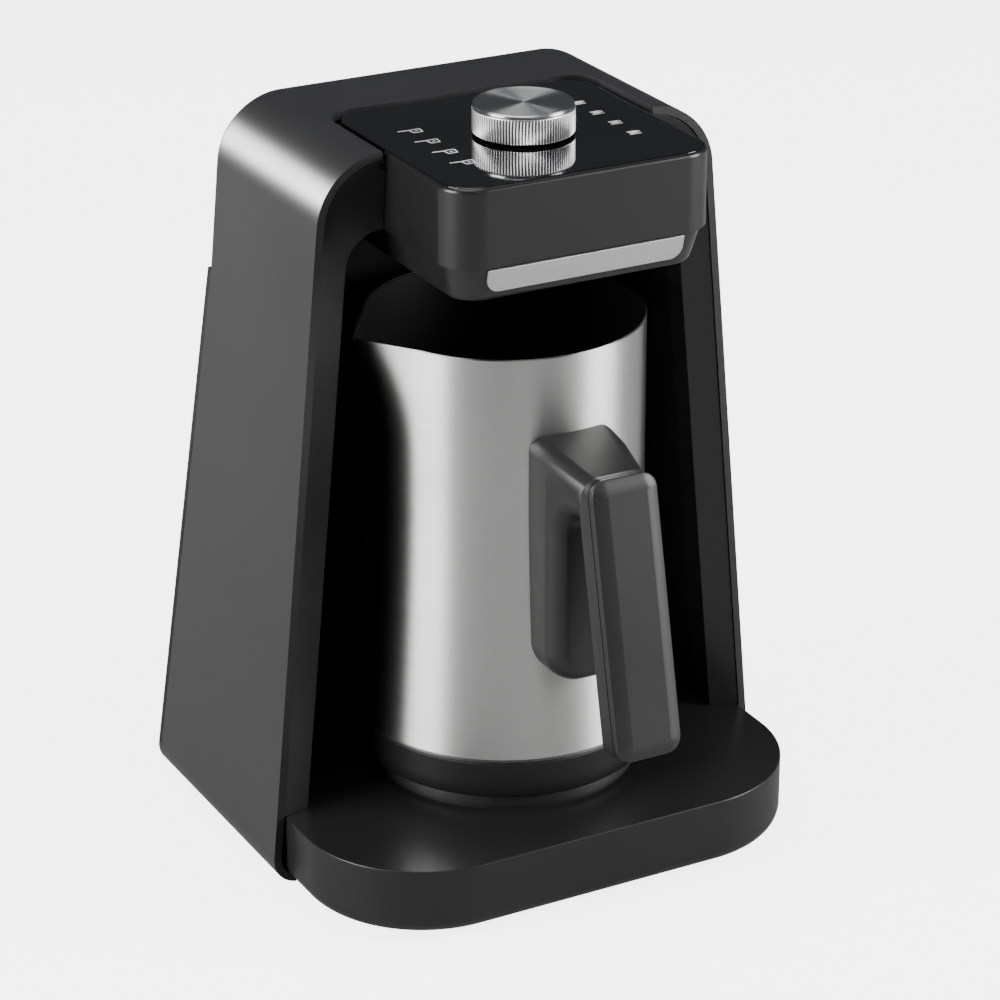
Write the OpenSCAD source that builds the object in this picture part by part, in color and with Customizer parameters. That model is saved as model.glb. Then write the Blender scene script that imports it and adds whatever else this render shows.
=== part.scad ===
// Electric Turkish coffee maker: tapered housing with an open bay, hot plate,
// push-and-turn knob, and a steel jug that stands on the plate.
// Millimetres, +Z up, front towards -Y. Origin: on the floor, under the middle of the part.

/* [Housing] */
// Height of the top of the housing above the floor
body_h = 235; // [225:0.5:250]
// Width of the housing where its sides would meet the floor
body_w = 175; // [170:1:190]
// Lean of the side walls, in degrees
draft = 5.4; // [4:0.1:6]
// Lean of the back cover, in degrees
back_draft = 5.9; // [4:0.1:7]
// Front edge of the housing
body_front = -4; // [-8:0.5:0]
// Back of the housing where it would meet the floor
body_back = 87.5; // [86:0.5:92]
// Radius of the two long top corners
corner_top_r = 22; // [18:0.5:26]
// Radius of the two long bottom corners
corner_bottom_r = 9; // [6:0.5:11]
// Radius of the top back edge
back_edge_r = 4; // [3.5:0.5:8]
// Wall of the housing
shell_t = 2.5; // [2:0.1:3]
// Underside of the housing above the floor
shell_lift = 1.4; // [1:0.1:2]
// Top of the back cover above the floor
cover_top = 181; // [170:1:190]
// Width of the frame round the bay, with the edge of the housing
frame_w = 12; // [11:0.5:14]
// How far the frame's inner edge is set back from its outer edge
frame_setback = 3; // [2:0.5:5]
// Depth of the frame behind its front edge
frame_depth = 12; // [10:0.5:16]

/* [Bay] */
// Ceiling of the bay below the top of the housing
bay_drop = 25; // [21:0.5:30]
// Radius of the top corners of the bay
bay_r = 11; // [8:0.5:13]
// Back wall of the bay
bay_back = 60; // [57:0.5:61]
// Wall of the liner
liner_t = 2; // [1.6:0.1:2.4]

/* [Base] */
// Top of the base above the floor
base_top = 24.9; // [23:0.1:28]
// Underside of the base above the floor
base_lift = 2.4; // [2:0.1:3]
// How far the base's sides are set in from the housing's full width
base_inset = 5.5; // [5.2:0.1:7.5]
// Front of the base
base_front = -59; // [-66:0.5:-56]
// Radius of the base's front corners
base_r = 40; // [30:1:46]
// Radius of the base's lower edge
base_edge_r = 5; // [3:0.5:7]
// Wall of the base
base_t = 2.5; // [2:0.1:3]
// Radius of a foot
foot_r = 7; // [6:0.5:8]
// Half distance between the feet, across
foot_x = 50; // [46:1:54]
// Front feet
foot_front_y = -36; // [-40:1:-32]
// Back feet
foot_back_y = 66; // [60:1:70]

/* [Heater] */
// Radius of the heater plate
plate_r = 43; // [41:0.5:46]
// Thickness of the heater plate
plate_t = 3.5; // [3:0.1:4]
// Thickness of the seal under the plate
seal_t = 1.5; // [1:0.1:2]
// Radius of the heating element's ring
element_r = 27; // [24:0.5:29]
// Radius of the heating element's tube
element_tube_r = 3.5; // [3:0.1:4]

/* [Head] */
// How far the head's sides are set in from the housing's full width
head_inset = 43.5; // [42.5:0.5:45.5]
// Front of the head
head_front = -46; // [-50:0.5:-44]
// Radius of the head's upright corners
head_r = 11; // [8:0.5:12]
// Back edge of the control glass
glass_back = 36; // [32:0.5:40]
// Top of the control glass below the top of the housing
glass_drop = 0.7; // [0.4:0.1:2]
// Thickness of the control glass
glass_t = 3; // [2.5:0.1:3.5]
// Wall of the head
head_t = 2.2; // [2:0.1:2.6]
// Height of the hood under the head
hood_h = 11.3; // [9:0.1:14]
// How far the hood's top edge is set in from the head
hood_inset = 1.5; // [1:0.1:2]
// How much the hood narrows from top to bottom, on each side
hood_taper = 2.5; // [2:0.1:3.5]
// Back of the hood
hood_back = 30; // [26:0.5:40]
// How far the trim strip's ends are set in from the hood's sides
strip_inset = 10; // [9.5:0.5:14]
// Height of the trim strip
strip_h = 7.5; // [6:0.1:8]
// Thickness of the trim strip
strip_t = 1; // [0.8:0.1:1.4]

/* [Knob] */
// Distance of the knob's axis from the part's middle, towards the back
knob_y = -6; // [-8:0.5:-4]
// Outer radius of the knob
knob_r = 15.4; // [14:0.1:17]
// Height of the knob
knob_h = 8.6; // [7.6:0.1:11]
// Gap between the glass and the released knob
knob_gap = 1.2; // [1:0.1:1.6]
// How far the knob can be pushed
knob_travel = 0.8; // [0.5:0.1:0.9]
// Number of knurls round the knob
knurls = 72; // [48:4:80]
// Radius of the encoder's shaft
shaft_r = 3; // [2.8:0.1:3.2]
// Radial clearance of the shaft in its bore
shaft_fit = 0.05; // [0.03:0.01:0.09]

/* [Jug] */
// Distance of the jug's axis from the part's middle, towards the back
jug_y = 6; // [4:0.5:8]
// Radius of the jug at its rim
jug_top_r = 43.6; // [42:0.1:45]
// Radius of the jug where the steel ends, above the base ring
jug_low_r = 48; // [46:0.1:49]
// Rim of the jug above the floor
jug_rim = 175; // [168:0.5:180]
// Height above the floor where the jug starts to widen
jug_flare = 128; // [110:1:140]
// Lower end of the visible steel above the floor
jug_hem = 43.5; // [42:0.5:46]
// Wall of the jug
jug_t = 1; // [0.8:0.1:1.2]
// Thickness of the jug's heat-spreading base
heat_base_t = 3.5; // [3:0.1:4]
// Distance of the spout's tip from the jug's axis
spout_reach = 52.5; // [50:0.5:53]
// Half angle of the rim that the spout takes up
spout_angle = 24; // [18:1:30]
// Height of the spout
spout_h = 38; // [30:1:46]

/* [Handle] */
// Half width of the stem on the jug
stem_half_w = 14; // [12:0.5:15]
// Distance of the stem's front from the jug's axis
stem_reach = 57; // [55:0.5:60]
// Lower end of the stem above the floor
stem_low = 73; // [68:1:80]
// Top of the handle's arm above the floor
arm_top = 150.5; // [145:0.5:156]
// Height of the arm
arm_h = 13; // [11:0.5:15]
// Half width of the grip
grip_half_w = 11; // [10:0.5:12]
// Distance of the grip's front from the jug's axis, at its top
grip_reach = 75.8; // [72:0.1:78]
// Lean of the grip away from the jug, in degrees
grip_lean = 12.4; // [8:0.2:15]
// Length of the grip along its lean
grip_len = 86; // [80:1:90]
// Thickness of the inner grip
grip_t = 7; // [6:0.5:8]
// Thickness of the grip's front cover
cover_t = 4.5; // [4:0.1:5]

/* [Hidden] */
$fn = 64;

seat_gap = 0.2;      // between a moulding and what it sits in
far = 400;           // longer than any piece
eps = 0.01;
screw_r = 1.5;       // shank of every housing screw
screw_fit = 0.05;
slope = tan(draft);
slope_back = tan(back_draft);

// Half width of the housing, and its back, at a height
function half_w(z) = body_w / 2 - slope * z;
function back_y(z) = body_back - slope_back * min(z, cover_top);
// Half width of the bay at a height
function bay_half_w(z) = half_w(z) - frame_w;

bay_top = body_h - bay_drop;
base_half_w = body_w / 2 - base_inset;
head_half_w = body_w / 2 - head_inset;
glass_top = body_h - glass_drop;
hood_bottom = bay_top - hood_h;

/* Outlines */

// Rounded rectangle from (x0, y0) to (x1, y1)
module round_rect(x0, y0, x1, y1, r) {
    translate([x0 + r, y0]) square([x1 - x0 - 2 * r, y1 - y0]);
    translate([x0, y0 + r]) square([x1 - x0, y1 - y0 - 2 * r]);
    for (x = [x0 + r, x1 - r], y = [y0 + r, y1 - r])
        translate([x, y]) circle(r);
}

// Front outline of the housing, drawn in by inset, from height z0 to z1,
// with radii r1 at the top corners and r0 at the bottom ones
module tapered_outline(inset, z0, z1, r0, r1) {
    top_x = half_w(z1 - r1) - (inset + r1) / cos(draft);
    low_x = half_w(z0 + r0) - (inset + r0) / cos(draft);
    dir = [cos(draft), sin(draft)];
    for (s = [-1, 1]) {
        translate([s * top_x, z1 - r1]) circle(r1);
        translate([s * low_x, z0 + r0]) circle(r0);
    }
    polygon([[-low_x, z0], [low_x, z0],
             [low_x, z0 + r0] + r0 * dir, [top_x, z1 - r1] + r1 * dir,
             [top_x, z1], [-top_x, z1],
             [-top_x - r1 * dir[0], z1 - r1 + r1 * dir[1]],
             [-low_x - r0 * dir[0], z0 + r0 + r0 * dir[1]]]);
}

// Extrudes a front outline from y0 back to y1
module along_y(y0, y1) {
    translate([0, y1, 0]) rotate([90, 0, 0]) linear_extrude(y1 - y0) children();
}

// Side outline of the housing from y0 to its back wall, which leans up to the
// seam and stands upright above it, drawn in by inset
module side_block(inset, y0, z0, z1, r) {
    b = back_y(cover_top) - inset;
    rotate([90, 0, 90]) linear_extrude(far, center = true) {
        translate([b - r, z1 - r]) circle(r);
        polygon([[y0, z0], [back_y(z0) - inset, z0], [b, cover_top],
                 [b, z1 - r], [b - r, z1], [y0, z1]]);
    }
}

// The closed form of the housing, drawn in by inset
module housing(inset, y0) {
    intersection() {
        hull() along_y(y0, body_back + 1)
            tapered_outline(inset, shell_lift + inset, body_h - inset,
                            corner_bottom_r - inset, corner_top_r - inset, $fn = 96);
        hull() side_block(inset, y0, 0, body_h - inset, back_edge_r - inset, $fn = 48);
    }
}

// Plan of the base: square at the back, rounded at the front
module base_plan(inset) {
    w = base_half_w - inset;
    f = base_front + inset;
    r = base_r - inset;
    b = back_y(base_top) - shell_t - seat_gap - inset;
    translate([-w, f + r]) square([2 * w, b - f - r]);
    translate([-w + r, f]) square([2 * (w - r), r]);
    for (s = [-1, 1]) translate([s * (w - r), f + r]) circle(r);
}

/* Housing */

glass_gap = 1.6;     // groove round the control glass
panel_r = 9;         // back corners of the glass

// Plan of the glass and of the cut in the housing for it
module panel_plan(grow) {
    w = head_half_w + grow;
    b = glass_back + grow;
    r = panel_r + grow;
    translate([-w, head_front - grow + head_r]) square([2 * w, b - head_front + grow - head_r - r]);
    translate([-w + r, head_front]) square([2 * (w - r), b - head_front]);
    for (s = [-1, 1]) {
        translate([s * (w - r), b - r]) circle(r);
        translate([s * (w - head_r - grow), head_front + head_r]) circle(head_r + grow);
    }
    translate([-w + head_r + grow, head_front - grow]) square([2 * (w - head_r - grow), head_r]);
}

lip_x = half_w(0) - corner_bottom_r;     // where the turned-in lip ends

module outer_shell() {
    color([0.07, 0.07, 0.075])
    difference() {
        housing(0, body_front);
        housing(shell_t, body_front - 1);
        // the back is closed by its own cover, up to the seam
        difference() {
            translate([-far / 2, 0, -1]) cube([far, far, cover_top + 1]);
            side_block(shell_t + seat_gap, -1, -2, cover_top + 1, 0.5);
        }
        // the top is cut away for the control panel
        translate([0, 0, glass_top - glass_t - 2]) linear_extrude(10) panel_plan(glass_gap);
        // underneath, only a narrow lip is turned in
        translate([-lip_x, body_front - 1, -1]) cube([2 * lip_x, far, shell_lift + shell_t + 2]);
    }
}

// Outline points of an inverted U: up the left side, over, and down the right side
function arch_points(inset, z0, z1, r) =
    let (x1 = half_w(z1 - r) - (inset + r) / cos(draft),
         x0 = half_w(z0) - inset / cos(draft),
         left = [for (i = [0 : arch_steps])
             let (a = 180 - draft - i * (90 - draft) / arch_steps)
             [-x1 + r * cos(a), z1 - r + r * sin(a)]])
    concat([[-x0, z0]], left,
           [for (i = [arch_steps : -1 : 0]) [-left[i][0], left[i][1]]], [[x0, z0]]);
arch_steps = 12;

module front_frame() {
    gap = shell_t + seat_gap;
    outer = arch_points(gap, base_top, body_h - gap, corner_top_r - gap);
    inner = arch_points(frame_w, base_top, bay_top, bay_r);
    n = len(outer);
    y_out = body_front + 0.4;
    y_in = body_front + frame_setback;
    y_back = body_front + frame_depth;
    rows = [for (i = [0 : n - 1])
        [[outer[i][0], y_out, outer[i][1]], [inner[i][0], y_in, inner[i][1]],
         [inner[i][0], y_back, inner[i][1]], [outer[i][0], y_back, outer[i][1]]]];
    pts = [for (row = rows) each row];
    sides = [for (i = [0 : n - 2], k = [0 : 3])
        let (a = 4 * i + k, b = 4 * i + (k + 1) % 4)
        each [[a, b, a + 4], [b, b + 4, a + 4]]];
    last = 4 * (n - 1);
    notch_half = head_half_w - head_t;
    color([0.06, 0.06, 0.065])
    difference() {
        polyhedron(pts, concat(sides, [[3, 2, 1, 0],
                                       [last, last + 1, last + 2, last + 3]]));
        // the head sits against the frame
        translate([-head_half_w - seat_gap, y_out - 1, bay_top - 1])
            cube([2 * (head_half_w + seat_gap), y_in + seat_gap - y_out + 1, 40]);
        // room for the control board over the cross bar
        translate([-notch_half, y_out - 1, board_z - 4]) cube([2 * notch_half, 40, 40]);
        translate([0, 0, carrier_z - seat_gap]) linear_extrude(20) panel_plan(carrier_lip + seat_gap);
    }
}

boss_x = 45;                         // screws of the back cover
boss_low_z = 34;
boss_high_z = 165;
boss_r = 4;
board_post_x = 34;                   // posts of the power board
power_z = [45, 105];
power_gap = 4;

module cavity_liner() {
    y0 = body_front + frame_depth;
    color([0.03, 0.03, 0.032])
    difference() {
        along_y(y0, bay_back) bay_outline(-liner_t, base_top);
        along_y(y0 - 1, bay_back + 1) bay_outline(0, base_top - 1);
    }
}

module bay_back_panel() {
    y1 = bay_back + liner_t;
    color([0.03, 0.03, 0.032])
    difference() {
        union() {
            along_y(bay_back, y1) bay_outline(-liner_t, base_top);
            for (s = [-1, 1]) {
                for (z = [boss_low_z, boss_high_z])
                    translate([s * boss_x, y1 - 1, z]) rotate([-90, 0, 0])
                        cylinder(h = cover_inner_y(z + boss_r) - y1 + 1 - seat_gap, r = boss_r);
                for (z = power_z)
                    translate([s * board_post_x, y1 - 1, z]) rotate([-90, 0, 0])
                        cylinder(h = power_gap + 1, r = 3);
            }
        }
        for (s = [-1, 1], z = [boss_low_z, boss_high_z])
            translate([s * boss_x, y1, z]) rotate([-90, 0, 0]) cylinder(h = far, r = screw_r + screw_fit);
    }
}

// Front outline of the bay, grown outwards when inset is negative
module bay_outline(inset, z0) {
    top = bay_top - inset;
    r = bay_r - inset;
    c = [half_w(top - r) - (frame_w + inset + r) / cos(draft), top - r];
    x0 = half_w(z0) - (frame_w + inset) / cos(draft);
    for (s = [-1, 1]) translate([s * c[0], c[1]]) circle(r);
    polygon([[-x0, z0], [x0, z0], c + r * [cos(draft), sin(draft)], [c[0], top],
             [-c[0], top], [-c[0] - r * cos(draft), c[1] + r * sin(draft)]]);
}

// Inner face of the back cover at a height
function cover_inner_y(z) = back_y(z) - shell_t / cos(draft);

vent_rows = 9;
vent_pitch = 6;
vent_w = 26;
vent_h = 2.6;
vent_x = 19;
vent_low_z = 108;
gland_x = 58;
gland_z = 38;
gland_bore_r = 3.4;
gland_body_r = 5.5;
gland_flange_r = 8;

// A slot with round ends through the back cover
module slot(w, h) {
    translate([-(w - h) / 2, -h / 2]) square([w - h, h]);
    for (s = [-1, 1]) translate([s * (w - h) / 2, 0]) circle(h / 2, $fn = 24);
}

module back_cover() {
    color([0.05, 0.05, 0.055])
    difference() {
        intersection() {
            along_y(0, body_back + 1)
                tapered_outline(0, shell_lift, body_h, corner_bottom_r, corner_top_r);
            difference() {
                side_block(0, 1, shell_lift, body_h, back_edge_r);
                side_block(shell_t, 0, -1, body_h + 1, 0.5);
            }
            translate([-far / 2, 0, -1]) cube([far, far, cover_top + 1 - 0.4]);
        }
        for (s = [-1, 1], i = [0 : vent_rows - 1])
            translate([s * vent_x, far / 2, vent_low_z + i * vent_pitch]) rotate([90, 0, 0])
                linear_extrude(far / 2) slot(vent_w, vent_h);
        for (s = [-1, 1], z = [boss_low_z, boss_high_z])
            translate([s * boss_x, 0, z]) rotate([-90, 0, 0]) cylinder(h = far, r = screw_r + 0.3);
        translate([gland_x, 0, gland_z]) rotate([-90, 0, 0]) cylinder(h = far, r = gland_body_r + seat_gap);
    }
}

module back_cover_screws() {
    head_h = 1.8;
    color("dimgray")
    for (s = [-1, 1], z = [boss_low_z, boss_high_z])
        translate([s * boss_x, back_y(z - 3), z]) rotate([-90, 0, 0]) {
            difference() {
                cylinder(h = head_h, r = 3);
                for (a = [0, 90]) rotate(a) translate([-1.9, -0.4, head_h - 0.9]) cube([3.8, 0.8, 1]);
            }
            translate([0, 0, -8]) cylinder(h = 8, r = screw_r);
        }
}

module cord_gland() {
    y_out = back_y(gland_z - gland_flange_r);
    y_in = cover_inner_y(gland_z + gland_flange_r);
    color([0.02, 0.02, 0.02])
    translate([gland_x, 0, gland_z]) rotate([-90, 0, 0])
    difference() {
        union() {
            translate([0, 0, y_out]) cylinder(h = 1.2, r = gland_flange_r);
            translate([0, 0, y_in - 4]) cylinder(h = y_out - y_in + 5, r = gland_body_r);
            translate([0, 0, y_in - 4]) cylinder(h = 2.5, r = gland_body_r + 1.5);
        }
        translate([0, 0, y_in - 5]) cylinder(h = 20, r = gland_bore_r);
    }
}

/* Base */

plate_z0 = base_top + seal_t;            // underside of the heater plate
plate_z1 = plate_z0 + plate_t;           // what the jug stands on
bottom_t = 3;
base_slice = 0.3;
base_boss_x = base_half_w - 16;
base_boss_pts = [[-base_boss_x, -6], [base_boss_x, -6], [-base_boss_x, 70], [base_boss_x, 70]];

module base_tray() {
    color([0.09, 0.09, 0.1])
    difference() {
        // lower edge rounded in three steps
        hull() {
            translate([0, 0, base_lift]) linear_extrude(base_slice) base_plan(0.6 * base_edge_r);
            translate([0, 0, base_lift + 0.28 * base_edge_r])
                linear_extrude(base_slice) base_plan(0.22 * base_edge_r);
            translate([0, 0, base_lift + 0.8 * base_edge_r])
                linear_extrude(base_top - base_lift - 0.8 * base_edge_r) base_plan(0);
        }
        difference() {
            translate([0, 0, base_lift - 1]) linear_extrude(base_top - base_t - base_lift + 1)
                base_plan(base_edge_r);
            for (p = base_boss_pts) translate(p) cylinder(h = far, r = 4);
        }
        // behind the front edge it follows the inside of the housing
        difference() {
            translate([-far / 2, body_front - seat_gap, -1]) cube([far, far, base_top]);
            housing(shell_t + seat_gap, body_front - 1);
            translate([-lip_x + seat_gap, body_front - 1, -2]) cube([2 * (lip_x - seat_gap), far, far]);
        }
        translate([0, jug_y, 0]) cylinder(h = far, r = plate_r - 4);
        for (p = base_boss_pts) translate([p[0], p[1], 0]) cylinder(h = base_top - base_t, r = screw_r + screw_fit);
        // bosses end on the bottom cover
        translate([0, 0, 0]) linear_extrude(base_lift + bottom_t) base_plan(base_edge_r);
    }
}

module base_bottom() {
    color([0.05, 0.05, 0.05])
    difference() {
        translate([0, 0, base_lift]) linear_extrude(bottom_t) base_plan(base_edge_r + seat_gap);
        for (x = [-foot_x, foot_x], y = [foot_front_y, foot_back_y])
            translate([x, y, 0]) cylinder(h = far, r = peg_r + screw_fit);
        for (p = base_boss_pts) translate([p[0], p[1], 0]) {
            cylinder(h = far, r = screw_r + 0.3);
            cylinder(h = base_lift + 1.6, r = 3.4);
        }
        // air slots under the heater
        for (x = [-24 : 8 : 24]) translate([x - 1.5, jug_y - 20, 0]) cube([3, 40, 10]);
    }
}

module base_screws() {
    color("dimgray")
    for (p = base_boss_pts) translate([p[0], p[1], base_lift + 0.2]) {
        cylinder(h = 1.4, r = 3);
        cylinder(h = 13, r = screw_r);
    }
}

peg_r = 2.5;
module foot(x, y) {
    color([0.02, 0.02, 0.02])
    translate([x, y, 0]) {
        cylinder(h = 0.8, r1 = foot_r - 0.6, r2 = foot_r);
        translate([0, 0, 0.8]) cylinder(h = base_lift - 0.8, r = foot_r);
        cylinder(h = base_lift + bottom_t, r = peg_r);
    }
}
module foot_front_left() foot(-foot_x, foot_front_y);
module foot_front_right() foot(foot_x, foot_front_y);
module foot_back_left() foot(-foot_x, foot_back_y);
module foot_back_right() foot(foot_x, foot_back_y);

/* Heater */

pan_z = 14;
pan_t = 1;
module heater_plate() {
    color([0.12, 0.12, 0.13])
    translate([0, jug_y, 0]) {
        translate([0, 0, plate_z0]) cylinder(h = plate_t - 0.5, r = plate_r);
        translate([0, 0, plate_z1 - 0.5]) cylinder(h = 0.5, r1 = plate_r, r2 = plate_r - 0.5);
        // studs that hold the pan
        for (a = [30, 150, 270]) rotate(a)
            translate([34, 0, pan_z + pan_t]) cylinder(h = plate_z0 - pan_z - pan_t + 1, r = 2.2);
    }
}

module plate_seal() {
    color([0.5, 0.1, 0.08])
    translate([0, jug_y, base_top])
    difference() {
        cylinder(h = seal_t, r = plate_r - 0.8);
        translate([0, 0, -1]) cylinder(h = 5, r = plate_r - 4);
    }
}

module heating_element() {
    color("silver")
    translate([0, jug_y, plate_z0 - element_tube_r]) {
        rotate([0, 0, 20]) rotate_extrude(angle = 320) translate([element_r, 0]) circle(element_tube_r, $fn = 32);
        // cold ends with their terminals
        for (a = [20, 340]) rotate(a) translate([element_r, 0, 0]) {
            sphere(element_tube_r, $fn = 32);
            translate([0, 0, -8]) cylinder(h = 8, r = 1.2);
        }
    }
}

module reflector_pan() {
    color("gainsboro")
    translate([0, jug_y, pan_z])
    difference() {
        union() {
            cylinder(h = pan_t, r = plate_r - 5);
            difference() {
                cylinder(h = 5, r = plate_r - 5);
                translate([0, 0, -1]) cylinder(h = 9, r = plate_r - 6);
            }
        }
        for (a = [20, 340]) rotate(a) translate([element_r, 0, -1]) cylinder(h = 4, r = 2);
    }
}

module temperature_sensor() {
    color("goldenrod")
    translate([0, jug_y, pan_z + pan_t]) {
        cylinder(h = plate_z0 - pan_z - pan_t, r = 5);
        cylinder(h = 3, r = 7);
    }
}

/* Electronics */

module power_board() {
    y0 = bay_back + liner_t + power_gap;
    color("darkgreen")
    translate([0, y0, 0]) {
        translate([-40, 0, power_z[0] - 8]) cube([80, 1.6, power_z[1] - power_z[0] + 16]);
        translate([-30, 1.6, 50]) cube([20, 6, 22]);
        translate([6, 1.6, 48]) cube([14, 7, 16]);
        translate([26, 1.6, 70]) rotate([-90, 0, 0]) cylinder(h = 6, r = 5);
        translate([-20, 1.6, 90]) cube([24, 4, 12]);
    }
}

harness_r = 1.8;
harness_x = 30;
module wiring_harness() {
    back = bay_back + liner_t + harness_r + 0.3;
    up = bay_top + liner_t + harness_r + 0.2;
    route = [[harness_x, back, power_z[1] + 9 + harness_r], [harness_x, back, up],
             [harness_x, board_back - 4, up], [harness_x, board_back - 4, board_z - harness_r]];
    color("firebrick")
    for (i = [0 : len(route) - 2])
        hull() {
            translate(route[i]) sphere(harness_r, $fn = 16);
            translate(route[i + 1]) sphere(harness_r, $fn = 16);
        }
}

/* Head */

glass_under = glass_top - glass_t;
head_back = body_front + frame_setback;    // against the frame
board_z = glass_under - 9.3;
board_t = 1.6;
board_back = 22;
board_front = head_front + head_t + 4;
board_half_w = head_half_w - 8;
bolt_x = board_half_w - 2.5;
board_bolts = [[-bolt_x, board_front + 5], [bolt_x, board_front + 5], [-bolt_x, -12], [bolt_x, -12]];
sensor_y = -14;
sensor_r = 5;
carrier_t = 2;
carrier_lip = 3.2;
carrier_z = glass_under - carrier_t;

module head_plan(inset) {
    w = head_half_w - inset;
    translate([-w, head_front + head_r]) square([2 * w, head_back - head_front - head_r]);
    translate([-head_half_w + head_r, head_front + inset]) square([2 * (head_half_w - head_r), head_r]);
    for (s = [-1, 1]) translate([s * (head_half_w - head_r), head_front + head_r]) circle(head_r - inset);
}

module head_housing() {
    color([0.06, 0.06, 0.065])
    difference() {
        translate([0, 0, bay_top]) linear_extrude(glass_under - bay_top) head_plan(0);
        difference() {
            translate([0, 0, bay_top + head_t]) linear_extrude(far) {
                head_plan(head_t);
                translate([-head_half_w + head_t, head_back - 5]) square([2 * (head_half_w - head_t), 10]);
            }
            for (p = board_bolts) translate([p[0], p[1], 0]) cylinder(h = board_z, r = 3);
        }
        for (p = board_bolts) translate([p[0], p[1], board_z - 6]) cylinder(h = 7, r = 1.05);
        translate([0, sensor_y, bay_top - 1]) cylinder(h = far, r = sensor_r + 2);
    }
}

module panel_carrier() {
    color([0.05, 0.05, 0.05])
    difference() {
        intersection() {
            union() {
                translate([0, 0, carrier_z]) linear_extrude(carrier_t) panel_plan(carrier_lip);
                translate([0, 0, carrier_z]) linear_extrude(body_h - shell_t - seat_gap - carrier_z)
                    difference() {
                        panel_plan(carrier_lip);
                        panel_plan(glass_gap);
                    }
            }
            translate([-far / 2, body_front + 1, 0]) cube([far, far, far]);
        }
        translate([0, 0, carrier_z - 1]) linear_extrude(carrier_t + 2)
            round_rect(-head_half_w + 4, head_front, head_half_w - 4, glass_back - 4, 6);
        translate([-head_half_w - seat_gap, head_front, 0])
            cube([2 * (head_half_w + seat_gap), head_back + seat_gap - head_front, glass_under]);
    }
}

module control_glass() {
    color([0.02, 0.02, 0.022])
    difference() {
        union() {
            translate([0, 0, glass_under]) linear_extrude(glass_t - 0.5) panel_plan(0);
            translate([0, 0, glass_top - 0.5]) linear_extrude(0.5) panel_plan(-0.5);
        }
        translate([0, knob_y, 0]) cylinder(h = far, r = bush_r + 0.5);
    }
}

module control_board() {
    color("darkgreen")
    difference() {
        translate([-board_half_w, board_front, board_z]) cube([2 * board_half_w, board_back - board_front, board_t]);
        for (p = board_bolts) translate([p[0], p[1], 0]) cylinder(h = far, r = 1.2);
    }
}

module board_screws() {
    color("silver")
    for (p = board_bolts) translate([p[0], p[1], board_z - 5]) {
        cylinder(h = 5 + board_t, r = 1);
        translate([0, 0, 5 + board_t]) cylinder(h = 1, r = 2);
    }
}

icon_x = board_half_w - 8;
icon_pitch = 11.1;
icon_first_y = 11;
module icon_leds() {
    color("white")
    for (s = [-1, 1], i = [0 : 2])
        translate([s * icon_x - 1.5, icon_first_y - i * icon_pitch - 1.5, board_z + board_t]) cube([3, 3, 1.2]);
}

module buzzer() {
    color("black")
    translate([-17, -26, board_z + board_t]) cylinder(h = 4, r = 5);
}

/* Knob, turned and pushed */

bush_r = 3.9;
encoder_half = 6.5;
encoder_h = 6.3;
encoder_z = board_z + board_t;
dome_h = knob_travel + 0.1;
plunger_t = 1.5;
shaft_z0 = encoder_z + dome_h + plunger_t;
knob_z0 = glass_top + knob_gap;
knob_top = knob_z0 + knob_h;
cap_t = 0.9;
skirt_wall = 1.8;

module encoder_body() {
    color([0.15, 0.15, 0.16])
    translate([0, knob_y, encoder_z])
    difference() {
        union() {
            translate([-encoder_half, -encoder_half, 0]) cube([2 * encoder_half, 2 * encoder_half, encoder_h]);
            cylinder(h = glass_top - 0.4 - encoder_z, r = bush_r);
        }
        translate([0, 0, -1]) cylinder(h = far, r = shaft_r + shaft_fit);
    }
}

module switch_dome() {
    color("gold")
    translate([0, knob_y, encoder_z])
    rotate_extrude() polygon([[0, dome_h - 0.25], [0, dome_h], [1.2, dome_h - 0.12], [2.4, dome_h - 0.6],
                              [2.6, 0], [2.3, 0], [2.1, dome_h - 0.7], [1.1, dome_h - 0.35]]);
}

module encoder_plunger() {
    color("beige")
    translate([0, knob_y, encoder_z + dome_h]) cylinder(h = plunger_t, r = shaft_r);
}

module encoder_shaft() {
    color("silver")
    translate([0, knob_y, shaft_z0]) cylinder(h = knob_top - cap_t - 2 - shaft_z0, r = shaft_r);
}

module knob_core() {
    top = knob_top - cap_t;
    color([0.1, 0.1, 0.1])
    translate([0, knob_y, 0])
    difference() {
        union() {
            translate([0, 0, top - 2]) cylinder(h = 2, r = knob_r - skirt_wall - 0.05);
            translate([0, 0, knob_z0 + 0.3]) cylinder(h = top - knob_z0 - 1, r = shaft_r + 2.5);
            for (a = [0 : 60 : 300]) rotate(a)
                translate([shaft_r + 1, -0.6, knob_z0 + 1]) cube([knob_r - skirt_wall - shaft_r - 1.6, 1.2, top - knob_z0 - 2]);
        }
        translate([0, 0, 0]) cylinder(h = top - 2, r = shaft_r + 0.02);
    }
}

module knob_skirt() {
    h = knob_top - cap_t - knob_z0;
    groove = 0.35;
    color("silver")
    translate([0, knob_y, knob_z0])
    difference() {
        union() {
            cylinder(h = 0.7, r = knob_r - 0.6);
            translate([0, 0, 0.7]) linear_extrude(h - 1.4)
                polygon([for (i = [0 : 2 * knurls - 1])
                    (knob_r - groove * (i % 2)) * [cos(i * 180 / knurls), sin(i * 180 / knurls)]]);
            translate([0, 0, h - 0.7]) cylinder(h = 0.7, r = knob_r - 0.6);
        }
        translate([0, 0, -1]) cylinder(h = far, r = knob_r - skirt_wall);
    }
}

module knob_cap() {
    dish = 0.25;
    color("silver")
    translate([0, knob_y, knob_top - cap_t])
    rotate_extrude() polygon([[0, 0], [knob_r - 0.3, 0], [knob_r - 0.3, cap_t - 0.4],
                              [knob_r - 0.7, cap_t], [knob_r - 1.6, cap_t],
                              [knob_r - 1.9, cap_t - dish], [0, cap_t - dish]]);
}

/* Hood over the jug */

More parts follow.
